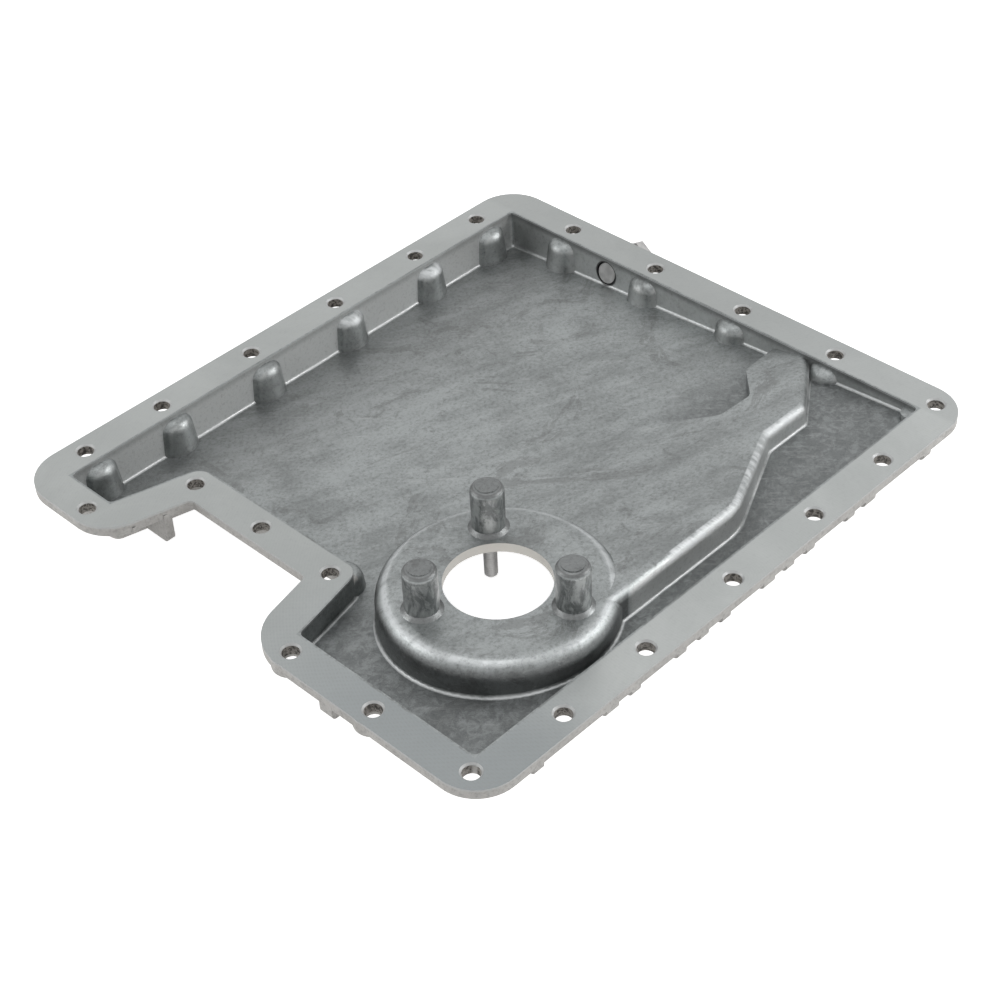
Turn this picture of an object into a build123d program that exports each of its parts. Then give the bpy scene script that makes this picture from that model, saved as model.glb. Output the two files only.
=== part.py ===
from build123d import *
import os
from math import cos, radians, sin, tan

# Shallow die-cast oil pan for an engine, with a raised seat for an oil level sensor.
# Frame: z = 0 is the machined gasket face and +Z points to the engine. The origin is the centre
# of the middle hole of the front bolt row, +X runs along that row towards the drain plug, and
# +Y runs to the deep rear end. Millimetres. The dimensions below are laid out from the middle
# of the basin, halfway between the front and rear bolt rows, and save() moves them to the origin.

# ---- flange -------------------------------------------------------------------------------
flange_left = 155.8            # edges of the flange, from the origin
flange_right = 157.7
flange_half_width = 141.6
flange_thickness = 5.2
flange_edge_break = 0.5
front_left_radius = 19.0       # corner radii of the flange's outline
right_corner_radius = 19.5
rear_left_radius = 20.5
rear_lobe_radius = 20.0
front_lobe_radius = 24.0
notch_corner_radius = 3.0
rear_slant_deg = 15.3          # the two flanks of the notch on the left side
front_slant_deg = 12.8

# ---- gasket land: the width of the flange round the basin -----------------------------------
land_left = 16.85
land_right = 17.75
land_end = 18.0                # front and rear
land_notch = 17.4              # along the notch
land_flank = 17.4              # along the notch's slanted flanks
basin_corner_radius = 2.8
basin_notch_radius = 10.0

# ---- notch in the left side -------------------------------------------------------------------
notch_x = -114.5               # outer edge of the flange along the notch
notch_rear_y = 70.8            # where that edge meets the rear and the front flank
notch_front_y = -2.5

# ---- basin --------------------------------------------------------------------------------
skin = 4.0                     # thickness of walls and floor
draft_deg = 3.0
floor_depth = 12.3             # depth of the floor below the gasket face at Y = 0
floor_fall = 0.0574            # the floor falls towards the rear by this much per millimetre
foot_fillet = 1.5              # between walls and floor
belly_rounding = 6.0           # outer bottom edges

# ---- bolt holes ---------------------------------------------------------------------------
bolt_hole = 7.5
bolt_chamfer = 0.8
row_margin = 8.7               # from the flange's edge to the holes of the front and rear rows
left_margin = 8.2              # the same for the left column
right_margin = 9.1             # and the right column
rear_row = (-123.9, -80.5, -26.75, 26.75, 80.5, 123.9)
front_row = (-100.8, -53.4, 0.0, 53.4, 100.8)
right_pitch = 53.8
right_middle = 8.5
notch_pitch = 43.1
notch_margin = 8.4             # from the notch's edge to its holes
notch_middle = 34.8
left_column = (-77.8, -30.6)
corner_hole_end = 13.9        # front corner holes, from the flange's front edge
front_left_margin = 10.6       # and from its left and right edges
front_right_margin = 10.2
rear_left_hole_y = 100.6       # hole in the rear lobe
lug_radius = 8.5               # thicker pads under the two holes of the left column
lug_drop = 1.4

# ---- half-round bolt columns on the basin's walls ---------------------------------------------
column_radius = 8.5            # at the top
column_taper_deg = 7.0
column_reach = 5.2             # how far a column's top stands out of its wall
column_dome = 6.0
column_gap = 2.2               # from the gasket face down to a column's domed top

# ---- sensor seat ----------------------------------------------------------------------------
seat_x = -70.8
seat_y = -70.2
seat_top = 9.0
seat_radius = 50.0
seat_rounding = 8.0
seat_plate = 4.6
pocket_break = 2.5             # inner edge of the pocket below the seat
sensor_bore = 45.0
stud_circle_radius = 33.5
stud_angles = (50.4, 161.0, 286.5)

# ---- stud bosses and studs --------------------------------------------------------------------
boss_diameter = 14.3
boss_height = 22.0
boss_foot = 1.6
boss_shoulder = 2.5
boss_tip_diameter = 9.5
boss_tip_step = 0.4
stud_diameter = 6.0
stud_length = 35.0
stud_neck_diameter = 5.3       # plain neck between the two threaded ends
stud_neck_length = 3.0
stud_neck_drop = 1.5           # from the seat's underside down to the neck's lower end
stud_tip_z = -17.5
stud_hole_spare = 1.0          # blind hole above the stud's end
stud_chamfer = 0.8

# ---- raised channel beside the seat -------------------------------------------------------------
roof_height = 8.0              # the channel's roof above the gasket face at roof_y
roof_y = -104.5
roof_fall = 0.217              # the roof falls towards the rear by this much per millimetre
roof_rounding = 4.5
channel_front_y = -112.5       # front foot of the channel beside the seat
channel_bend = (29.0, -112.5)
channel_corner = (79.5, -88.5)
channel_shoulder = (105.5, -88.5)
channel_end_front_y = -64.8    # where the channel's front meets the right wall
channel_end_rear_y = -43.5
channel_side = ((-40.0, -40.0), (-12.0, -12.0))
channel_bend_radius = 30.0
channel_plan_radius = 6.0
channel_rear = ((37.0, -12.0), (80.8, -60.2), (100.6, -61.4), (118.0, -45.0))

# ---- pad in the front right corner ---------------------------------------------------------------
corner_pad_radius = 4.5
corner_pad_inset = 2.2
corner_pad_z = -2.2

# ---- drain plug on the right side ------------------------------------------------------------------
drain_y = 59.3
drain_z = -9.0
drain_tilt_deg = 12.0          # the plug's axis falls outwards
drain_thread = 12.0
drain_boss_diameter = 22.0
drain_boss_reach = 0.4         # from the flange's edge out to the boss's face
washer_thickness = 1.5
washer_diameter = 20.0
plug_across_flats = 19.0
plug_head = 5.0
thread_clearance = 0.1         # between the plug's or a stud's thread and its hole, on diameter
plug_chamfer = 0.8

# ---- ribs under the flange --------------------------------------------------------------------------
rib_pitch = 13.64
rib_offset = -0.7
rib_width = 5.0
rib_wide = 7.0
rib_low_z = -8.3               # lower edge of the ribs along the front
rib_rounding = 2.5
front_ribs = (-9, -6, -5, -3, -2, -1, 1, 2, 3, 5, 6, 9)
wide_ribs = (-6, 1, 6)
left_rib_y = -59.0             # single rib on the left side
left_rib_low_z = -11.0
lobe_ribs = ((-125.5, -18.0), (-139.5, -6.8))    # (x, lower edge) of the ribs under the rear lobe
lobe_rib_width = 4.0

BOTTOM = (Align.CENTER, Align.CENTER, Align.MIN)
TOP = (Align.CENTER, Align.CENTER, Align.MAX)
os.makedirs("parts", exist_ok=True)


def flank_y(x, x0, y0, angle):
    """Height along a slanted flank through (x0, y0)."""
    return y0 + (x - x0) * tan(radians(angle))


def outline(corners):
    """Closed face through corners of (x, y, radius)."""
    points = [(x, y) for x, y, _ in corners]
    radii = [radius for _, _, radius in corners]
    return make_face(FilletPolyline(*points, radius=radii, close=True).edges())


def flange_outline():
    rear_y = flank_y(-flange_left, notch_x, notch_rear_y, -rear_slant_deg)
    front_y = flank_y(-flange_left, notch_x, notch_front_y, front_slant_deg)
    return outline([
        (-flange_left, -flange_half_width, front_left_radius),
        (flange_right, -flange_half_width, right_corner_radius),
        (flange_right, flange_half_width, right_corner_radius),
        (-flange_left, flange_half_width, rear_left_radius),
        (-flange_left, rear_y, rear_lobe_radius),
        (notch_x, notch_rear_y, notch_corner_radius),
        (notch_x, notch_front_y, notch_corner_radius),
        (-flange_left, front_y, front_lobe_radius),
    ])


def basin_outline():
    left = -flange_left + land_left
    right = flange_right - land_right
    end = flange_half_width - land_end
    inner_x = notch_x + land_notch
    rear_lift = land_flank / cos(radians(rear_slant_deg))
    front_lift = land_flank / cos(radians(front_slant_deg))
    rear = [flank_y(x, notch_x, notch_rear_y, -rear_slant_deg) + rear_lift for x in (left, inner_x)]
    front = [flank_y(x, notch_x, notch_front_y, front_slant_deg) - front_lift for x in (inner_x, left)]
    return outline([
        (left, -end, basin_corner_radius),
        (right, -end, basin_corner_radius),
        (right, end, basin_corner_radius),
        (left, end, basin_corner_radius),
        (left, rear[0], basin_corner_radius),
        (inner_x, rear[1], basin_notch_radius),
        (inner_x, front[0], basin_notch_radius),
        (left, front[1], basin_corner_radius),
    ])


def tilted_plane(height, fall):
    """Plane through z = height at the origin that falls towards the rear."""
    return Plane(origin=(0, 0, height), x_dir=(1, 0, 0), z_dir=(0, fall, 1))


def edges_on(solid, plane, tolerance=0.01):
    """Edges of the solid that lie in the plane."""
    return ShapeList(
        edge for edge in solid.edges()
        if all(abs(plane.to_local_coords(edge @ t).Z) < tolerance for t in (0, 0.5, 1)))


def save(node, solid):
    """Write one piece, moved so that the middle hole of the front row is the origin."""
    export_step(Pos(0, flange_half_width - row_margin, 0) * solid, f"parts/{node}.step")


def has_foot(edge):
    """True for floor edges that get the foot fillet: not the low rear step and not the corner pad."""
    middle = edge @ 0.5
    along_step = channel_side[0][0] <= middle.X < wall_x - foot_fillet
    low = along_step and channel_rear[2][1] - foot_fillet < middle.Y < channel_rear[0][1]
    corner_reach = 2 * corner_pad_radius
    in_corner = middle.X > wall_x - corner_reach and middle.Y < corner_reach - wall_y
    return not low and not in_corner


def at_column(edge):
    """True for the curved floor edges round the bolt columns."""
    middle = edge @ 0.5
    reach = column_radius + deep * tan(radians(column_taper_deg))
    return edge.length < 3 * reach and any(abs(Vector(x, y, middle.Z) - middle) < reach for x, y in column_spots)


def under(face, depth, plane, taper):
    """Drafted prism from z = 0 down to the plane."""
    return split(extrude(face, amount=depth, dir=(0, 0, -1), taper=taper), bisect_by=plane, keep=Keep.TOP)


def rib(width, length, low_z):
    """Rib under the flange that runs from its edge along +Y, rounded at the outer lower corner."""
    top_z = -flange_thickness / 2
    body = Pos(0, 0, top_z) * Box(width, length, top_z - low_z, align=(Align.CENTER, Align.MIN, Align.MAX))
    corner = body.edges().filter_by(Axis.X).group_by(Axis.Y)[0].sort_by(Axis.Z)[0]
    return fillet(corner, rib_rounding)


# ---- planes and outlines --------------------------------------------------------------------------
rim = flange_outline()
basin = basin_outline()
floor_plane = tilted_plane(-floor_depth, floor_fall)
belly_plane = tilted_plane(-floor_depth - skin, floor_fall)
deep = floor_depth + skin + floor_fall * flange_half_width + skin
high = seat_top + boss_height

# ---- shell: flange and drafted basin -------------------------------------------------------------
flange = extrude(rim, amount=flange_thickness, dir=(0, 0, -1))
flange = chamfer(flange.faces().sort_by(Axis.Z)[0].edges(), flange_edge_break)
belly = under(offset(basin, skin), deep, belly_plane, draft_deg)
belly = fillet(edges_on(belly, belly_plane), belly_rounding)
cavity = under(basin, deep, floor_plane, draft_deg)
shell = flange + belly - cavity

# ---- raised channel ----------------------------------------------------------------------------
roof_plane = tilted_plane(roof_height + roof_fall * roof_y, roof_fall)
wall_x = flange_right - land_right
beyond = flange_right
channel_corners = [
    (seat_x, channel_front_y, 0),
    (*channel_bend, channel_bend_radius),
    (*channel_corner, channel_plan_radius),
    (*channel_shoulder, channel_plan_radius),
    (wall_x, channel_end_front_y, 0),
    (beyond, channel_end_front_y, 0),
    (beyond, channel_end_rear_y, 0),
    *[(x, y, channel_plan_radius) for x, y in reversed(channel_rear)],
    *[(x, y, channel_plan_radius) for x, y in reversed(channel_side)],
    (seat_x, seat_y, 0),
]
channel_face = outline(channel_corners)
channel = Pos(0, 0, -deep) * extrude(channel_face, amount=deep + high)
channel = split(channel, bisect_by=roof_plane, keep=Keep.BOTTOM)
front_edges = [edge for edge in edges_on(channel, roof_plane)
               if (edge @ 0.5).Y < channel_end_front_y and (edge @ 0.5).X > seat_x]
channel = fillet(front_edges, roof_rounding)

# ---- sensor seat -----------------------------------------------------------------------------------
seat_centre = Pos(seat_x, seat_y)
seat = seat_centre * Pos(0, 0, seat_top) * Cylinder(seat_radius, seat_top + deep, align=TOP)
seat = fillet(seat.edges().sort_by(Axis.Z)[-1], seat_rounding)

# ---- bolt columns and corner pad ---------------------------------------------------------------
wall_y = flange_half_width - land_end
hide = column_radius - column_reach
notch_holes = [(notch_x + notch_margin, notch_middle + i * notch_pitch) for i in (-1, 0, 1)]
right_holes = [(flange_right - right_margin, right_middle + i * right_pitch) for i in (-1.5, -0.5, 0.5, 1.5)]
column_foot = column_radius + deep * tan(radians(column_taper_deg))
column = Pos(0, 0, -column_gap) * Cone(column_foot, column_radius, deep, align=TOP)
column = fillet(column.edges().sort_by(Axis.Z)[-1], column_dome)
column_spots = [(x, wall_y + hide) for x in rear_row]
column_spots += [(wall_x + hide, y) for _, y in right_holes]
column_spots += [(notch_x + land_notch - hide, notch_holes[0][1])]
columns = [Pos(x, y) * column for x, y in column_spots]
corner = Pos(wall_x - corner_pad_inset, -wall_y + corner_pad_inset, corner_pad_z)
pad = corner * Cylinder(corner_pad_radius, deep, align=TOP)

# ---- casting: shell with everything that rises from its floor --------------------------------------
inside = Pos(0, 0, -deep) * extrude(basin, amount=deep + high)
inside = split(inside, bisect_by=tilted_plane(-floor_depth - skin / 2, floor_fall), keep=Keep.TOP)
casting = shell
for island in [channel, seat, *columns, pad]:
    casting += island & inside

feet = [edge for edge in edges_on(casting, floor_plane) if has_foot(edge) and not at_column(edge)]
casting = fillet(feet, foot_fillet)

# ---- stud bosses -------------------------------------------------------------------------------
boss_profile = Polyline(
    (0, -seat_plate / 2),
    (boss_diameter / 2 + boss_foot, -seat_plate / 2),
    (boss_diameter / 2 + boss_foot, 0),
    (boss_diameter / 2, boss_foot),
    (boss_diameter / 2, boss_height - boss_tip_step),
    (0, boss_height - boss_tip_step),
    close=True)
boss_section = make_face(Plane.XZ * boss_profile)
boss = revolve(boss_section, Axis.Z)
boss = fillet(boss.edges().group_by(Axis.Z)[-1], boss_shoulder)
boss += Pos(0, 0, boss_height - boss_tip_step) * Cylinder(boss_tip_diameter / 2, boss_tip_step, align=BOTTOM)
stud_spots = [seat_centre * Pos(stud_circle_radius * cos(radians(a)), stud_circle_radius * sin(radians(a)))
              for a in stud_angles]
for spot in stud_spots:
    casting += spot * Pos(0, 0, seat_top) * boss

# ---- hollow below the seat and the channel ------------------------------------------------------
pocket_radius = seat_radius - skin
pocket_depth = deep + seat_top - seat_plate
pocket = seat_centre * Pos(0, 0, seat_top - seat_plate) * Cylinder(pocket_radius, pocket_depth, align=TOP)
pocket = chamfer(pocket.edges().sort_by(Axis.Z)[-1], pocket_break)
duct_plane = tilted_plane(roof_height - skin + roof_fall * roof_y, roof_fall)
duct_face = offset(channel_face, -skin, kind=Kind.INTERSECTION)
duct = Pos(0, 0, -deep) * extrude(duct_face, amount=deep + high)
duct = split(duct, bisect_by=duct_plane, keep=Keep.BOTTOM)
collar = flange - extrude(basin, amount=deep, dir=(0, 0, -1))
casting -= pocket
casting -= duct - collar

# ---- bores and bolt holes -------------------------------------------------------------------------
casting -= seat_centre * Cylinder(sensor_bore / 2, 2 * high)
stud_top_z = stud_tip_z + stud_length
stud_hole = Cylinder((stud_diameter + thread_clearance) / 2, high, align=TOP)
for spot in stud_spots:
    casting -= spot * Pos(0, 0, stud_top_z + stud_hole_spare) * stud_hole

left_x = -flange_left + left_margin
corner_holes = [
    (front_left_margin - flange_left, corner_hole_end - flange_half_width),
    (flange_right - front_right_margin, corner_hole_end - flange_half_width),
    (left_x, rear_left_hole_y),
]
left_holes = [(left_x, y) for y in left_column]
bolt_holes = [(x, flange_half_width - row_margin) for x in rear_row]
bolt_holes += [(x, row_margin - flange_half_width) for x in front_row]
bolt_holes += right_holes + notch_holes + left_holes + corner_holes
for x, y in left_holes:
    casting += Pos(x, y) * Cylinder(lug_radius, flange_thickness + lug_drop, align=TOP)
for x, y in bolt_holes:
    casting -= Pos(x, y) * Cylinder(bolt_hole / 2, 2 * deep)
    casting -= Pos(x, y) * Cone(bolt_hole / 2, bolt_hole / 2 + bolt_chamfer, bolt_chamfer, align=TOP)

# ---- drain boss and its threaded bore ---------------------------------------------------------------
drain_length = (flange_right + drain_boss_reach - wall_x) / cos(radians(drain_tilt_deg))
drain_axis = Plane(origin=(wall_x, drain_y, drain_z),
                   x_dir=(0, 1, 0),
                   z_dir=(cos(radians(drain_tilt_deg)), 0, -sin(radians(drain_tilt_deg))))
drain_boss = drain_axis * Cylinder(drain_boss_diameter / 2, drain_length, align=BOTTOM)
drain_boss = split(drain_boss, bisect_by=Plane.XY.offset(-flange_thickness / 2), keep=Keep.BOTTOM)
casting += drain_boss - extrude(basin, amount=deep, dir=(0, 0, -1), taper=draft_deg)
casting -= drain_axis * Pos(0, 0, -skin) * Cylinder(drain_thread / 2, drain_length + 2 * skin, align=BOTTOM)

# ---- ribs between the flange and the belly ----------------------------------------------------------
front_length = land_end - skin / 2
for n in front_ribs:
    width = rib_wide if n in wide_ribs else rib_width
    casting += Pos(rib_offset + n * rib_pitch, -flange_half_width) * rib(width, front_length, rib_low_z)
casting += Pos(-flange_left, left_rib_y) * Rot(0, 0, -90) * rib(rib_wide, land_left - skin / 2, left_rib_low_z)
for x, low_z in lobe_ribs:
    flank = flank_y(x, notch_x, notch_rear_y, -rear_slant_deg)
    casting += Pos(x, flank) * rib(lobe_rib_width, land_flank, low_z)
save("oil_pan_casting", casting)

# ---- studs -------------------------------------------------------------------------------------------
stud = Cylinder(stud_diameter / 2, stud_length, align=BOTTOM)
stud = chamfer(stud.edges().filter_by(GeomType.CIRCLE), stud_chamfer)
neck_z = seat_top - seat_plate - stud_neck_drop - stud_tip_z
neck = Cylinder(stud_diameter / 2, stud_neck_length, align=BOTTOM)
neck -= Cylinder(stud_neck_diameter / 2, stud_neck_length, align=BOTTOM)
stud -= Pos(0, 0, neck_z) * neck
for number, spot in enumerate(stud_spots, start=1):
    save(f"sensor_stud_{number}", spot * Pos(0, 0, stud_tip_z) * stud)

# ---- drain plug and its seal ring -----------------------------------------------------------------------
washer = Cylinder(washer_diameter / 2, washer_thickness, align=BOTTOM)
washer -= Cylinder(drain_thread / 2, washer_thickness, align=BOTTOM)
save("drain_plug_seal_ring", drain_axis * Pos(0, 0, drain_length) * washer)

plug_seat = drain_length + washer_thickness
plug = Cylinder((drain_thread - thread_clearance) / 2, plug_seat, align=BOTTOM)
plug = chamfer(plug.edges().sort_by(Axis.Z)[0], plug_chamfer)
hexagon = RegularPolygon(plug_across_flats / 2, 6, major_radius=False, rotation=30)
head = Pos(0, 0, plug_seat) * extrude(hexagon, amount=plug_head)
save("drain_plug", drain_axis * (plug + head))
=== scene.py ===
"""A die-cast engine oil pan: its finish, fine threads, studio and camera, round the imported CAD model."""

import math
from types import SimpleNamespace

import bpy
from mathutils import Matrix, Vector


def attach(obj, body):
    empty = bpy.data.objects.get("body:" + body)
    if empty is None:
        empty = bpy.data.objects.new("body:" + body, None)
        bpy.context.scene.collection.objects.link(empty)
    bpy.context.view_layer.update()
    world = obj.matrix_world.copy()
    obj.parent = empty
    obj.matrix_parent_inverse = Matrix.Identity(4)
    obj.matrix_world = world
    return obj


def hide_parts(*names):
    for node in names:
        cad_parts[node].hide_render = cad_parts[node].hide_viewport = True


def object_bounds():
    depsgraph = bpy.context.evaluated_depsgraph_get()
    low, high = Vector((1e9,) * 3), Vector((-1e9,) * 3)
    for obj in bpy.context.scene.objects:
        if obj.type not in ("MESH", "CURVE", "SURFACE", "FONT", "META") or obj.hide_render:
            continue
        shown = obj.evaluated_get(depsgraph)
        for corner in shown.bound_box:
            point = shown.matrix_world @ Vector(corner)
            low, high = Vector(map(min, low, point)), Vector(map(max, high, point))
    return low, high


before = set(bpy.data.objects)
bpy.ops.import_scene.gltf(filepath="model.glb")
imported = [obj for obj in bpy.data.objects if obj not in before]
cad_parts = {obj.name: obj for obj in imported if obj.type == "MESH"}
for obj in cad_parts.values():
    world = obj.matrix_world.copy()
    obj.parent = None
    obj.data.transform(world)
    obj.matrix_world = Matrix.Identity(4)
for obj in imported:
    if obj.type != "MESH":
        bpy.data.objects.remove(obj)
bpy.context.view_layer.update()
MM = 0.001

# ---- camera ----------------------------------------------------------------------------------
SENSOR_MM = 36.0
FRAME_PX = 990.0                # the photograph's frame
FOCAL_PX = 2071.84              # focal length in the photograph's pixels
AXIS_PX = (462.0, 495.0)        # where the lens axis meets the photograph
CAMERA_AT = Vector((-495.78, -375.33, 565.95)) * MM
CAMERA_RIGHT = Vector((0.7022193, -0.7103019, -0.0485723))
CAMERA_DOWN = Vector((-0.4834926, -0.4256870, -0.7648696))
CAMERA_AHEAD = Vector((0.5226117, 0.5605905, -0.6423514))


def add_camera():
    data = bpy.data.cameras.new("camera")
    data.sensor_width = SENSOR_MM
    data.lens = FOCAL_PX / FRAME_PX * SENSOR_MM
    data.shift_x = (FRAME_PX / 2 - AXIS_PX[0]) / FRAME_PX
    data.shift_y = (AXIS_PX[1] - FRAME_PX / 2) / FRAME_PX
    camera = bpy.data.objects.new("camera", data)
    turn = Matrix((CAMERA_RIGHT, -CAMERA_DOWN, -CAMERA_AHEAD)).transposed()
    camera.matrix_world = Matrix.Translation(CAMERA_AT) @ turn.to_4x4()
    bpy.context.scene.collection.objects.link(camera)
    bpy.context.scene.camera = camera


# ---- node helpers ----------------------------------------------------------------------------
class Nodes:
    """Short calls that build one material's node tree. A mask is a value from 0 to 1."""

    def __init__(self, name):
        self.material = bpy.data.materials.new(name)
        self.material.use_nodes = True
        self.tree = self.material.node_tree
        self.shader = self.tree.nodes["Principled BSDF"]
        self.place = self.add("ShaderNodeTexCoord").outputs["Object"]

    def add(self, kind, **settings):
        node = self.tree.nodes.new(kind)
        for name, value in settings.items():
            setattr(node, name, value)
        return node

    def feed(self, socket, value):
        """Link a node's output into a socket, or set the socket to a constant."""
        if isinstance(value, bpy.types.NodeSocket):
            self.tree.links.new(value, socket)
        else:
            socket.default_value = value

    def axis(self, vector, name):
        node = self.add("ShaderNodeSeparateXYZ")
        self.feed(node.inputs[0], vector)
        return node.outputs[name]

    # sums and distances
    def math(self, operation, *values, clamp=False):
        node = self.add("ShaderNodeMath", operation=operation, use_clamp=clamp)
        for socket, value in zip(node.inputs, values):
            self.feed(socket, value)
        return node.outputs[0]

    def product(self, first, *others):
        for other in others:
            first = self.math("MULTIPLY", first, other)
        return first

    def inverse(self, mask):
        return self.math("SUBTRACT", 1.0, mask)

    def distance(self, a, b, centre, stretch=1.0):
        """Distance of the point (a, b) from a centre, with a stretched by a factor."""
        across = self.product(self.math("SUBTRACT", a, centre[0]), stretch)
        along = self.math("SUBTRACT", b, centre[1])
        squares = self.math("ADD", self.product(across, across), self.product(along, along))
        return self.math("SQRT", squares)

    # soft steps
    def ramp(self, value, low, high, to_low=0.0, to_high=1.0):
        node = self.add("ShaderNodeMapRange", interpolation_type="SMOOTHSTEP")
        for socket, number in zip(node.inputs, (value, low, high, to_low, to_high)):
            self.feed(socket, number)
        return node.outputs[0]

    def beyond(self, value, edge, soft):
        """1 where value is over the edge, softened by so much on each side."""
        return self.ramp(value, edge - soft, edge + soft)

    def within(self, value, edge, soft):
        """1 where value is under the edge, softened by so much on each side."""
        return self.ramp(value, edge + soft, edge - soft)

    # textures, mixes and relief
    def noise(self, scale, detail=4.0, rough=0.55, stretch=(1, 1, 1), turn=0.0, distortion=0.0, seed=0.0):
        spin = self.add("ShaderNodeMapping")
        self.feed(spin.inputs["Vector"], self.place)
        spin.inputs["Rotation"].default_value = (0, 0, turn)
        mapping = self.add("ShaderNodeMapping")
        self.feed(mapping.inputs["Vector"], spin.outputs[0])
        mapping.inputs["Scale"].default_value = stretch
        mapping.inputs["Location"].default_value = (seed, seed * 0.7, seed * 0.3)
        node = self.add("ShaderNodeTexNoise")
        self.feed(node.inputs["Vector"], mapping.outputs[0])
        node.inputs["Scale"].default_value = scale
        node.inputs["Detail"].default_value = detail
        node.inputs["Roughness"].default_value = rough
        node.inputs["Distortion"].default_value = distortion
        return node.outputs["Fac"]

    def waves(self, scale, distortion, detail=2.0, **settings):
        node = self.add("ShaderNodeTexWave", **settings)
        self.feed(node.inputs["Vector"], self.place)
        node.inputs["Scale"].default_value = scale
        node.inputs["Distortion"].default_value = distortion
        node.inputs["Detail"].default_value = detail
        return node.outputs["Fac"]

    def mix(self, factor, a, b):
        """Mix two colours."""
        node = self.add("ShaderNodeMix", data_type="RGBA")
        self.feed(node.inputs["Factor"], factor)
        self.feed(node.inputs["A"], a)
        self.feed(node.inputs["B"], b)
        return node.outputs["Result"]

    def mix_value(self, factor, a, b):
        node = self.add("ShaderNodeMix", data_type="FLOAT")
        self.feed(node.inputs["Factor"], factor)
        self.feed(node.inputs["A"], a)
        self.feed(node.inputs["B"], b)
        return node.outputs["Result"]

    def layered(self, colour, *layers):
        """Lay colours over a colour, each a pair of its mask and itself."""
        for mask, over in layers:
            colour = self.mix(mask, colour, over)
        return colour

    def bump(self, height, strength, distance, under=None):
        node = self.add("ShaderNodeBump")
        self.feed(node.inputs["Height"], height)
        self.feed(node.inputs["Strength"], strength)
        node.inputs["Distance"].default_value = distance
        if under is not None:
            self.feed(node.inputs["Normal"], under)
        return node.outputs[0]


def grey(level, warm=0.0):
    return (level * (1 + warm), level, level * (1 - warm), 1)


# ---- where the pan's surfaces lie ------------------------------------------------------------
RIGHT_WALL = 139.95 * MM        # inner faces of the basin's walls at the gasket face
LEFT_WALL = -138.95 * MM
FRONT_WALL = 9.3 * MM
REAR_WALL = 256.5 * MM
NOTCH_WALL = -97.1 * MM
NOTCH_EDGE = -114.5 * MM        # outer edge of the flange along the notch
NOTCH_FLANKS = ((112.56 * MM, 0.2272), (221.74 * MM, -0.2736))      # inner flanks: Y at NOTCH_EDGE, slope
WALL_SOFT = 0.4 * MM

FLOOR_Z = -4.67 * MM            # the floor's height is FLOOR_Z - FLOOR_FALL * y
FLOOR_FALL = 0.0574
FLANGE_FOOT_Z = -5.35 * MM      # just under the flange
BOSS_TIP_Z = 14.5 * MM          # above this only the bosses' tips face up

BORE_AT = (-70.8 * MM, 62.7 * MM)
BORE_RADIUS = 23.9 * MM
BOSS_REACH = 42 * MM            # the bosses lie within this distance of the bore's axis
SEAT_SHOULDER = 44 * MM         # the seat's rounded edge turns down about here
SEAT_EDGE = 52 * MM             # the seat's foot

CHANNEL_X = (-14 * MM, RIGHT_WALL - 36 * MM)      # the channel's edge band gets a painted highlight between these
COLUMNS_Y = (234 * MM, 252.75 * MM)               # the rear columns' faces lie between these
PLUG_AT = (192.2 * MM, -9.0 * MM)                 # Y and Z of the plug's inner end
PLUG_HOLE_RADIUS = 6.6 * MM
PLUG_RIM_RADIUS = 5.2 * MM
MILLED_CORNER = (-146.0 * MM, 3.0 * MM)           # the cutter marks are strongest round this corner


def outside_basin(n, margin=2 * WALL_SOFT, corners=False):
    """1 on the flange, in its holes and below it, 0 inside the basin; margin sets it back from the walls.
    With corners, 1 only where two sides of the flange meet."""
    near, far = margin - WALL_SOFT, margin + WALL_SOFT
    sides = [
        n.ramp(n.x, RIGHT_WALL + near, RIGHT_WALL + far),
        n.ramp(n.x, LEFT_WALL - near, LEFT_WALL - far),
        n.ramp(n.y, REAR_WALL + near, REAR_WALL + far),
        n.ramp(n.y, FRONT_WALL - near, FRONT_WALL - far),
    ]
    notch = n.ramp(n.x, NOTCH_WALL - near, NOTCH_WALL - far)
    for (height, slope), side in zip(NOTCH_FLANKS, (1, -1)):
        over = n.math("SUBTRACT", n.y, n.product(n.math("SUBTRACT", n.x, NOTCH_EDGE), slope))
        notch = n.product(notch, n.ramp(over, height + side * near, height + side * far))
    total = notch
    for side in sides:
        total = n.math("ADD" if corners else "MAXIMUM", total, side)
    return n.math("SUBTRACT", total, 1.0, clamp=True) if corners else total


# ---- cast aluminium --------------------------------------------------------------------------
CAST = ((0.205, 0.217, 0.216, 1), (0.330, 0.348, 0.348, 1))         # dark and light tones
RAW_CAST = ((0.40, 0.39, 0.375, 1), (0.54, 0.53, 0.51, 1))
MILLED = ((0.375, 0.390, 0.385, 1), (0.425, 0.440, 0.434, 1))
BOSS_SKIN = ((0.10, 0.102, 0.103, 1), (0.48, 0.49, 0.485, 1))
HOLE_SKIN = ((0.07, 0.066, 0.06, 1), (0.34, 0.32, 0.295, 1))

# painted light: the tone of the walls that face the front and the left
PAINTED_WALL_LIGHT = (0.54, 0.55, 0.545, 1)
BORE_SKIN = (0.50, 0.485, 0.455, 1)
# painted highlight on the seat's rounded rim
PAINTED_RIM_HIGHLIGHT = (0.60, 0.62, 0.63, 1)
# painted highlight along the feet of the walls, columns and seat
PAINTED_FOOT_HIGHLIGHT = (0.44, 0.45, 0.45, 1)
# painted highlight on the channel's rounded edge band
PAINTED_BAND_HIGHLIGHT = (0.50, 0.515, 0.52, 1)
# the machined chamfers at the flange's edges, lighter than the milled face as a painted highlight
BROKEN_EDGE_HIGHLIGHT = (0.50, 0.51, 0.51, 1)
SCRATCH = (0.48, 0.49, 0.49, 1)
STAIN = (0.12, 0.122, 0.12, 1)
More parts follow.
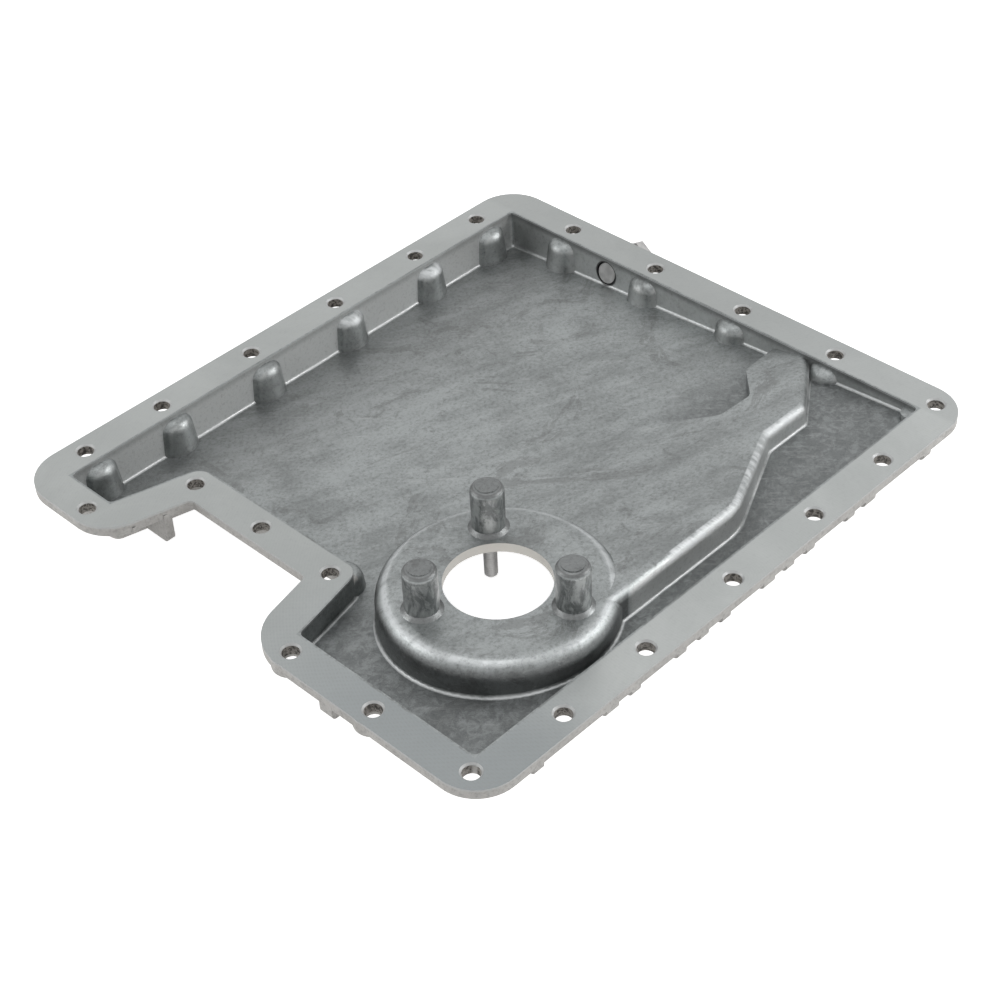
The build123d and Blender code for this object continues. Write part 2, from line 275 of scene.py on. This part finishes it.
# a darker tone for the floor towards the front
FRONT_DARKENING = (0.13, 0.137, 0.138, 1)
HATCHED = (0.225, 0.245, 0.252, 1)
CUTTER_LINE = (0.25, 0.26, 0.26, 1)
RIGHT_FLANGE = (0.26, 0.27, 0.27, 1)
REAR_FLANGE = (0.24, 0.25, 0.245, 1)
MILLED_SPECK = (0.20, 0.205, 0.205, 1)
RAW_SPECK = (0.20, 0.195, 0.19, 1)

HATCH_STRETCH = 2.4             # the hatched corner is this much narrower along X
HATCH_REACH = (130 * MM, 70 * MM)                 # its edge, and how far that is softened
HATCH_RAGGED = 30 * MM          # how far noise moves the edge


class CastNodes(Nodes):
    """The casting's nodes, with each point's place and slope and the noises that its layers share."""

    def __init__(self):
        super().__init__("cast_aluminium")
        self.x, self.y, self.z = (self.axis(self.place, name) for name in "XYZ")
        normal = self.add("ShaderNodeTexCoord").outputs["Normal"]
        self.facing_x, self.facing_y, self.up = (self.axis(normal, name) for name in "XYZ")
        self.steep = self.within(self.math("ABSOLUTE", self.up), 0.3, 0.1)
        over_rear_floor = self.math("SUBTRACT", self.z, FLOOR_Z)
        self.above_floor = self.math("ADD", over_rear_floor, self.product(self.y, FLOOR_FALL))
        self.from_bore = self.distance(self.x, self.y, BORE_AT)

        # scales are per metre
        self.clouds = self.noise(11, detail=7, rough=0.62, distortion=0.8)
        self.stains = self.noise(24, detail=9, rough=0.72, distortion=1.6, seed=9.4)
        self.mottle = self.noise(55, detail=6, rough=0.66, seed=3.1)
        self.streaks = self.noise(120, detail=5, rough=0.62, stretch=(0.22, 1, 1), turn=0.35,
                                  distortion=0.4, seed=7.7)
        self.patches = self.noise(210, detail=6, rough=0.68, stretch=(1, 1, 0.45), distortion=0.7, seed=4.6)
        self.band_streaks = self.noise(420, detail=3, rough=0.6, stretch=(1, 0.14, 0.4), turn=-0.55, seed=2.2)
        self.scratches = self.noise(420, detail=4, rough=0.7, stretch=(0.16, 1, 1), turn=0.9,
                                    distortion=0.5, seed=5.2)
        self.specks = self.noise(620, detail=6, rough=0.74, distortion=0.3, seed=1.3)
        self.grain = self.noise(1900, detail=2, rough=0.6)

    def tone(self):
        """The casting's own light and dark, from the broadest noise to the finest."""
        total = self.product(self.clouds, 0.27)
        for noise, share in ((self.mottle, 0.25), (self.streaks, 0.22), (self.specks, 0.26)):
            total = self.math("ADD", total, self.product(noise, share))
        return total


def flange_masks(n):
    """Masks of the milled gasket face, its broken edges (given a painted highlight), the raw outside, the
    bolt holes, the bore and the painted shadow in the gap round the drain plug.
    """
    outside = outside_basin(n)
    near_face = n.within(n.math("ABSOLUTE", n.z), 0.25 * MM, 0.1 * MM)
    machined = n.product(n.beyond(n.up, 0.9925, 0.0045), near_face, outside)
    broken_edge = n.product(n.beyond(n.z, -0.85 * MM, 0.1 * MM), n.within(n.z, 0.2 * MM, 0.1 * MM),
                            n.within(n.up, 0.9475, 0.0475), outside_basin(n, -0.5 * MM))
    raw_side = n.product(outside, n.within(n.up, 0.775, 0.175))
    raw = n.math("MAXIMUM", raw_side, n.within(n.up, -0.25, 0.15))
    in_hole = n.product(outside_basin(n, 3.5 * MM), n.inverse(outside_basin(n, 14 * MM)), n.steep,
                        n.beyond(n.z, FLANGE_FOOT_Z, 0.25 * MM),
                        n.inverse(outside_basin(n, 8.6 * MM, corners=True)))
    in_bore = n.product(n.within(n.from_bore, BORE_RADIUS, 0.3 * MM), n.steep)
    plug_gap_shadow = n.product(n.within(n.distance(n.y, n.z, PLUG_AT), PLUG_HOLE_RADIUS, 0.3 * MM),
                        n.beyond(n.x, RIGHT_WALL - 4.5 * MM, 1.5 * MM))
    return SimpleNamespace(outside=outside, machined=machined, broken_edge=broken_edge, raw=raw,
                           in_hole=in_hole, in_bore=in_bore, plug_gap_shadow=plug_gap_shadow)


def basin_masks(n, outside):
    """Masks of the basin's walls lightened with painted light, the feet of its forms and the channel's edge
    band, both given painted highlights, the painted shade under the flange's lip, and two darker stretches
    of floor.
    """
    foot = n.product(n.within(n.above_floor, 1.3 * MM, 0.4 * MM), n.within(n.up, 0.9575, 0.0275),
                     n.beyond(n.up, 0.21, 0.09))
    band = n.product(n.beyond(n.up, 0.34, 0.16), n.within(n.up, 0.955, 0.025),
                     n.beyond(n.x, CHANNEL_X[0], 3 * MM), n.within(n.x, CHANNEL_X[1], 4 * MM),
                     n.beyond(n.above_floor, 2.7 * MM, 0.5 * MM))

    off_seat = n.product(n.inverse(outside), n.beyond(n.from_bore, SEAT_EDGE + 0.75 * MM, 1.25 * MM))
    column = n.product(n.beyond(n.y, COLUMNS_Y[0], 2 * MM), n.within(n.y, COLUMNS_Y[1], 0.75 * MM))
    # painted light: walls facing the front, and less so the left, are lightened where the light falls on
    # them
    lit = n.math("MAXIMUM", n.product(n.beyond(n.x, NOTCH_WALL + 2.6 * MM, 2.5 * MM), 0.7),
                 n.beyond(n.y, COLUMNS_Y[0] - 5.5 * MM, 3.5 * MM))
    to_front = n.product(n.within(n.facing_y, -0.725, 0.175), off_seat,
                         n.inverse(n.product(column, 0.75)), lit)
    to_left = n.product(n.within(n.facing_x, -0.86, 0.11), off_seat)
    lit_wall = n.math("MAXIMUM", to_front, n.product(to_left, 0.45))
    # painted shade: a dark band at the top of the right and rear walls, under the flange's lip
    at_wall = n.math("MAXIMUM", n.beyond(n.x, RIGHT_WALL - 3 * MM, MM),
                     n.product(n.beyond(n.y, REAR_WALL - 3 * MM, MM), 0.5))
    shade_under_lip = n.product(at_wall, off_seat, n.beyond(n.z, -3 * MM, 1.5 * MM), n.within(n.up, 0.35, 0.15))

    # darker floor towards the rear, and in patches towards the front and the left lobe
    low = n.within(n.above_floor, 1.4 * MM, 0.6 * MM)
    rear_darkening = n.product(low, n.beyond(n.y, 210 * MM, 35 * MM))
    to_left_lobe = n.product(n.within(n.x, -101.5 * MM, 13.5 * MM), 0.9)
    front_darkening = n.product(low, n.math("ADD", n.within(n.y, 95 * MM, 17 * MM), to_left_lobe, clamp=True),
                           n.within(n.y, 126.5 * MM, 8.5 * MM))
    return SimpleNamespace(foot=foot, band=band, lit_wall=lit_wall, shade_under_lip=shade_under_lip, rear_darkening=rear_darkening,
                           front_darkening=front_darkening)


def seat_masks(n):
    """Masks of the sensor seat's side and rounded rim, and of its bosses, their feet and their tips; the
    side and the bosses' feet get painted shade, the rim a painted highlight.
    """
    near_bosses = n.within(n.from_bore, BOSS_REACH, MM)
    boss = n.product(near_bosses, n.within(n.up, 0.25, 0.10))
    boss_foot_shade = n.product(near_bosses, n.within(n.up, 0.90, 0.05), n.beyond(n.up, 0.45, 0.10))
    tip = n.product(n.beyond(n.z, BOSS_TIP_Z, 0.5 * MM), n.beyond(n.up, 0.75, 0.15))
    side = n.product(n.within(n.from_bore, SEAT_EDGE, 0.4 * MM), n.beyond(n.from_bore, SEAT_SHOULDER, MM),
                     n.within(n.up, 0.60, 0.20))
    rim = n.product(n.within(n.from_bore, SEAT_EDGE - MM, MM), n.beyond(n.from_bore, BOSS_REACH, MM),
                    n.beyond(n.up, 0.78, 0.08), n.within(n.up, 0.9575, 0.0275))
    return SimpleNamespace(boss=boss, boss_foot_shade=boss_foot_shade, tip=tip, side=side, rim=rim)


def basin_colour(n, basin, seat):
    """The die-cast skin inside the basin, with painted light on the walls, a painted highlight on the
    seat's rim, painted shade under the lip, at the bosses' feet and on the seat's side, and darker floor
    towards the front and rear.
    """
    return n.layered(
        n.mix(n.ramp(n.tone(), 0.41, 0.59), *CAST),
        # darker floor towards the rear
        (n.product(basin.rear_darkening, 0.30), grey(0.13)),
        (n.ramp(n.stains, 0.55, 0.60, 0.0, 0.38), STAIN),
        # darker floor towards the front and the left lobe, in patches
        (n.product(basin.front_darkening, n.ramp(n.patches, 0.42, 0.60, 0.78, 0.38)), FRONT_DARKENING),
        # painted light on the walls
        (basin.lit_wall, PAINTED_WALL_LIGHT),
        # painted shade under the lip
        (n.product(basin.shade_under_lip, 0.6), grey(0.10)),
        # painted shade at the bosses' feet
        (n.product(seat.boss_foot_shade, 0.6), grey(0.09)),
        # painted shade on the seat's side
        (n.product(seat.side, 0.6), grey(0.06)),
        # painted highlight on the seat's rim, streaked by noise
        (n.product(seat.rim, n.ramp(n.streaks, 0.35, 0.60, 0.25, 0.60)), PAINTED_RIM_HIGHLIGHT),
        (n.product(seat.boss, 0.55), n.mix(n.ramp(n.patches, 0.40, 0.60), *BOSS_SKIN)),
        (n.product(seat.tip, 0.5), grey(0.09)),
        (n.ramp(n.specks, 0.50, 0.34, 0.0, 0.22), grey(0.07)),
        (n.ramp(n.scratches, 0.55, 0.72, 0.0, 0.20), SCRATCH),
    )


def raw_colour(n, flange):
    """The rough outside of the casting, and the walls of the bolt holes."""
    return n.layered(
        n.mix(n.ramp(n.tone(), 0.36, 0.64), *RAW_CAST),
        (n.ramp(n.specks, 0.52, 0.36, 0.0, 0.35), RAW_SPECK),
        (flange.in_hole, n.mix(n.ramp(n.specks, 0.42, 0.56), *HOLE_SKIN)),
    )


def milled_finish(n):
    """Colour and cutter lines of the gasket face: fine arcs, crossed round one corner."""
    arcs = n.waves(240, 1.2, wave_type="RINGS", rings_direction="Z")
    crossing = n.waves(210, 0.8, wave_type="BANDS", bands_direction="DIAGONAL")
    reach = n.distance(n.x, n.y, MILLED_CORNER, stretch=HATCH_STRETCH)
    ragged = n.math("ADD", reach, n.product(n.clouds, HATCH_RAGGED))
    hatched = n.within(ragged, *HATCH_REACH)
    lines = n.mix_value(hatched, n.product(arcs, 0.35), n.product(arcs, crossing))
    colour = n.layered(
        n.mix(n.ramp(n.clouds, 0.35, 0.65), *MILLED),
        (n.product(hatched, 0.75), HATCHED),
        (n.product(lines, n.mix_value(hatched, 0.20, 0.40)), CUTTER_LINE),
        (n.product(n.beyond(n.x, RIGHT_WALL + MM, 2 * MM), 0.22), RIGHT_FLANGE),
        (n.ramp(n.specks, 0.50, 0.34, 0.0, 0.10), MILLED_SPECK),
        (n.product(n.beyond(n.y, 97.5 * MM, 37.5 * MM), 0.30), REAR_FLANGE),
    )
    return colour, lines


def cast_roughness(n, flange, basin):
    smooth_curve = n.ramp(n.mottle, 0.3, 0.7, 0.34, 0.50)
    level_face = n.ramp(n.mottle, 0.3, 0.7, 0.44, 0.58)
    rough = n.mix_value(n.ramp(n.up, 0.94, 0.975), smooth_curve, level_face)
    rough = n.mix_value(flange.raw, rough, 0.62)
    rough = n.mix_value(flange.machined, rough, n.ramp(n.mottle, 0.3, 0.7, 0.38, 0.46))
    return n.mix_value(basin.band, rough, n.ramp(n.band_streaks, 0.35, 0.65, 0.46, 0.60))


def cast_relief(n, flange, basin, lines):
    """Bump of the casting skin, nearly none on the milled face, with cutter and tooling lines."""
    lumps = n.bump(n.mottle, n.mix_value(flange.machined, 0.40, 0.02), 0.8 * MM)
    flow = n.bump(n.streaks, n.mix_value(flange.machined, 0.30, 0.0), 0.35 * MM, lumps)
    skin = n.bump(n.grain, n.mix_value(flange.machined, 0.55, 0.10), 0.18 * MM, flow)
    cutter = n.bump(lines, n.product(flange.machined, 0.25), 0.05 * MM, skin)
    return n.bump(n.band_streaks, n.product(basin.band, 0.7), 0.25 * MM, cutter)


def cast_aluminium():
    n = CastNodes()
    flange = flange_masks(n)
    basin = basin_masks(n, flange.outside)
    seat = seat_masks(n)
    milled, lines = milled_finish(n)
    colour = n.layered(
        basin_colour(n, basin, seat),
        (flange.raw, raw_colour(n, flange)),
        # painted highlight on the fillets at the feet of the forms
        (n.product(basin.foot, n.ramp(n.mottle, 0.35, 0.65, 0.15, 0.70)), PAINTED_FOOT_HIGHLIGHT),
        # painted highlight along the channel's edge band, streaked by noise
        (n.product(basin.band, n.ramp(n.band_streaks, 0.36, 0.64, 0.25, 1.0)), PAINTED_BAND_HIGHLIGHT),
        (flange.machined, milled),
        # machined chamfers with a painted highlight
        (n.product(flange.broken_edge, 0.8), BROKEN_EDGE_HIGHLIGHT),
        # painted shadow in the gap round the drain plug
        (n.product(flange.plug_gap_shadow, 0.9), grey(0.03)),
        (flange.in_bore, BORE_SKIN),
    )
    n.feed(n.shader.inputs["Base Color"], colour)
    skin_metal = n.mix_value(basin.lit_wall, 0.95, 0.45)
    n.feed(n.shader.inputs["Metallic"], n.mix_value(flange.raw, skin_metal, 0.35))
    n.feed(n.shader.inputs["Roughness"], cast_roughness(n, flange, basin))
    n.feed(n.shader.inputs["Normal"], cast_relief(n, flange, basin, lines))
    return n.material


# ---- plain metals ----------------------------------------------------------------------------
def plain_metal(name, level, rough, layer=None):
    """A plain stained metal. A layer is a function that gives a mask and the colour to lay over there."""
    n = Nodes(name)
    stain = n.noise(300)
    colour = n.mix(n.ramp(stain, 0.35, 0.65), grey(level * 0.8, 0.01), grey(level, 0.01))
    if layer:
        colour = n.layered(colour, layer(n))
    n.feed(n.shader.inputs["Base Color"], colour)
    n.feed(n.shader.inputs["Roughness"], n.ramp(stain, 0.3, 0.7, rough, rough + 0.12))
    n.shader.inputs["Metallic"].default_value = 1.0
    n.feed(n.shader.inputs["Normal"], n.bump(n.noise(1800, detail=2), 0.25, 0.1 * MM))
    return n.material


def plug_rim_shadow(n):
    """Layer that blackens the rim of the plug's inner end, a painted shadow of the gap round the plug."""
    x, y, z = (n.axis(n.place, name) for name in "XYZ")
    rim = n.product(n.beyond(n.distance(y, z, PLUG_AT), PLUG_RIM_RADIUS, 0.2 * MM),
                    n.within(x, RIGHT_WALL + 3.5 * MM, 0.5 * MM))
    return n.product(rim, 0.9), grey(0.03)


# ---- shading of the CAD nodes ----------------------------------------------------------------
SMOOTH_BELOW = math.radians(32)
AREA_WEIGHT = 80                # how much large faces steer the normals beside them


def dress(node, material):
    """Give a CAD node its material, smooth over shallow angles and crisp at sharp edges."""
    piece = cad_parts[node]
    piece.data.materials.clear()
    piece.data.materials.append(material)
    piece.data.polygons.foreach_set("use_smooth", [True] * len(piece.data.polygons))
    piece.data.set_sharp_from_angle(angle=SMOOTH_BELOW)
    settle = piece.modifiers.new("even normals", "WEIGHTED_NORMAL")
    settle.keep_sharp = True
    settle.weight = AREA_WEIGHT


# ---- threaded studs --------------------------------------------------------------------------
STUD_AT = ((-49.45, 88.51), (-102.47, 73.61), (-61.29, 30.58))
STUD_RADIUS = 2.98 * MM
STUD_BOTTOM = -17.5 * MM
STUD_TOP = 17.4 * MM
NECK = (2.95 * MM, 5.85 * MM)   # the plain neck between the two threads
NECK_RADIUS = 2.65 * MM
THREAD_PITCH = 1.0 * MM
THREAD_DEPTH = 0.42 * MM
THREAD_SHARPNESS = 2.6          # steepness of the flanks; over 2 leaves a flat at the crest
STUD_SIDES = 36
RINGS_PER_PITCH = 8
LEAD_IN = 0.9 * MM              # length of the chamfer at each end
LEAD_SLOPE = 0.8


def stud_radius(angle, z):
    """Outer radius of the threaded stud at one angle and height."""
    if NECK[0] < z < NECK[1]:
        return NECK_RADIUS
    phase = (z / THREAD_PITCH - angle / math.tau) % 1.0
    flank = min(abs(phase - 0.5) * THREAD_SHARPNESS, 1.0)
    radius = STUD_RADIUS - THREAD_DEPTH * (1 - flank)
    lead = min(z - STUD_BOTTOM, STUD_TOP - z) / LEAD_IN
    return min(radius, STUD_RADIUS - LEAD_IN * LEAD_SLOPE * max(0.0, 1 - lead))


def stud_mesh(name, at):
    """A closed threaded rod: rings of points up the stud, joined by quads and capped at both ends."""
    steps = round((STUD_TOP - STUD_BOTTOM) / THREAD_PITCH * RINGS_PER_PITCH)
    points, faces = [], []
    for ring in range(steps + 1):
        z = STUD_BOTTOM + (STUD_TOP - STUD_BOTTOM) * ring / steps
        for side in range(STUD_SIDES):
            angle = math.tau * side / STUD_SIDES
            r = stud_radius(angle, z)
            points.append((at[0] * MM + r * math.cos(angle), at[1] * MM + r * math.sin(angle), z))
    for ring in range(steps):
        for side in range(STUD_SIDES):
            a = ring * STUD_SIDES + side
            b = ring * STUD_SIDES + (side + 1) % STUD_SIDES
            faces.append((a, b, b + STUD_SIDES, a + STUD_SIDES))
    faces.append(tuple(reversed(range(STUD_SIDES))))
    faces.append(tuple(range(steps * STUD_SIDES, (steps + 1) * STUD_SIDES)))
    mesh = bpy.data.meshes.new(name)
    mesh.from_pydata(points, [], faces)
    mesh.polygons.foreach_set("use_smooth", [len(face) == 4 for face in faces])
    return mesh


def add_stud(number, at, material):
    name = f"threaded_stud_{number}"
    mesh = stud_mesh(name, at)
    mesh.materials.append(material)
    piece = bpy.data.objects.new(name, mesh)
    bpy.context.scene.collection.objects.link(piece)
    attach(piece, "root")
    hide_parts(f"sensor_stud_{number}")


# ---- studio ----------------------------------------------------------------------------------
FLOOR_SIZE = 6.0
FLOOR_GAP = 0.0005              # between the part's lowest point and the floor
FLOOR_COLOUR = (0.95, 0.95, 0.95, 1)
FLOOR_GLOW = 0.88               # the rest of the floor's white is lit, so it keeps the object's shadow
WORLD_LIGHT = 0.25
LAMP_AIM = (0, 0.13, 0)
LAMPS = {                       # place, width, depth and power of each softbox
    "back": ((0.95, 1.25, 1.25), 2.4, 2.0, 3),
    "top": ((-0.15, 0.0, 1.3), 0.6, 0.6, 2),
    "right": ((1.0, -0.95, 0.75), 0.7, 0.7, 11),
    "left": ((-1.1, 1.05, 0.75), 0.7, 0.7, 6),
}


def shows_background(tree):
    """1 for the rays that show the white background: those of the camera, of metal and of glass."""
    path = tree.nodes.new("ShaderNodeLightPath")
    seen = path.outputs["Is Camera Ray"]
    for name in ("Is Glossy Ray", "Is Transmission Ray"):
        either = tree.nodes.new("ShaderNodeMath")
        either.operation = "MAXIMUM"
        tree.links.new(seen, either.inputs[0])
        tree.links.new(path.outputs[name], either.inputs[1])
        seen = either.outputs[0]
    return seen


def add_floor():
    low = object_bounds()[0].z - FLOOR_GAP
    bpy.ops.mesh.primitive_plane_add(size=FLOOR_SIZE, location=(0, 0, low))
    floor = bpy.context.object
    floor.name = "floor"
    n = Nodes("floor")
    n.shader.inputs["Base Color"].default_value = FLOOR_COLOUR
    n.shader.inputs["Roughness"].default_value = 0.9
    n.shader.inputs["Specular IOR Level"].default_value = 0.0
    n.shader.inputs["Emission Color"].default_value = (1, 1, 1, 1)
    n.feed(n.shader.inputs["Emission Strength"], n.product(shows_background(n.tree), FLOOR_GLOW))
    floor.data.materials.append(n.material)


def add_softbox(name, at, width, depth, power):
    data = bpy.data.lights.new(name, "AREA")
    data.shape = "RECTANGLE"
    data.size, data.size_y = width, depth
    data.energy = power
    lamp = bpy.data.objects.new(name, data)
    lamp.location = at
    lamp.rotation_euler = (Vector(LAMP_AIM) - Vector(at)).to_track_quat("-Z", "Y").to_euler()
    bpy.context.scene.collection.objects.link(lamp)


def add_world():
    world = bpy.data.worlds.new("studio")
    world.use_nodes = True
    tree = world.node_tree
    background = tree.nodes["Background"]
    background.inputs["Color"].default_value = (1, 1, 1, 1)
    level = tree.nodes.new("ShaderNodeMapRange")
    tree.links.new(shows_background(tree), level.inputs["Value"])
    level.inputs["To Min"].default_value = WORLD_LIGHT
    level.inputs["To Max"].default_value = 1.0
    tree.links.new(level.outputs[0], background.inputs["Strength"])
    bpy.context.scene.world = world


# ---- build -----------------------------------------------------------------------------------
steel = plain_metal("stud_steel", 0.60, 0.40)
finishes = {
    "oil_pan_casting": cast_aluminium(),
    "sensor_stud_1": steel,
    "sensor_stud_2": steel,
    "sensor_stud_3": steel,
    "drain_plug": plain_metal("plug_steel", 0.45, 0.35, plug_rim_shadow),
    "drain_plug_seal_ring": plain_metal("seal_ring", 0.5, 0.45),
}
for node, material in finishes.items():
    dress(node, material)
for number, at in enumerate(STUD_AT, start=1):
    add_stud(number, at, steel)

add_camera()
add_world()
for name, (at, width, depth, power) in LAMPS.items():
    add_softbox(name, at, width, depth, power)
add_floor()
bpy.context.scene.view_settings.view_transform = "Standard"
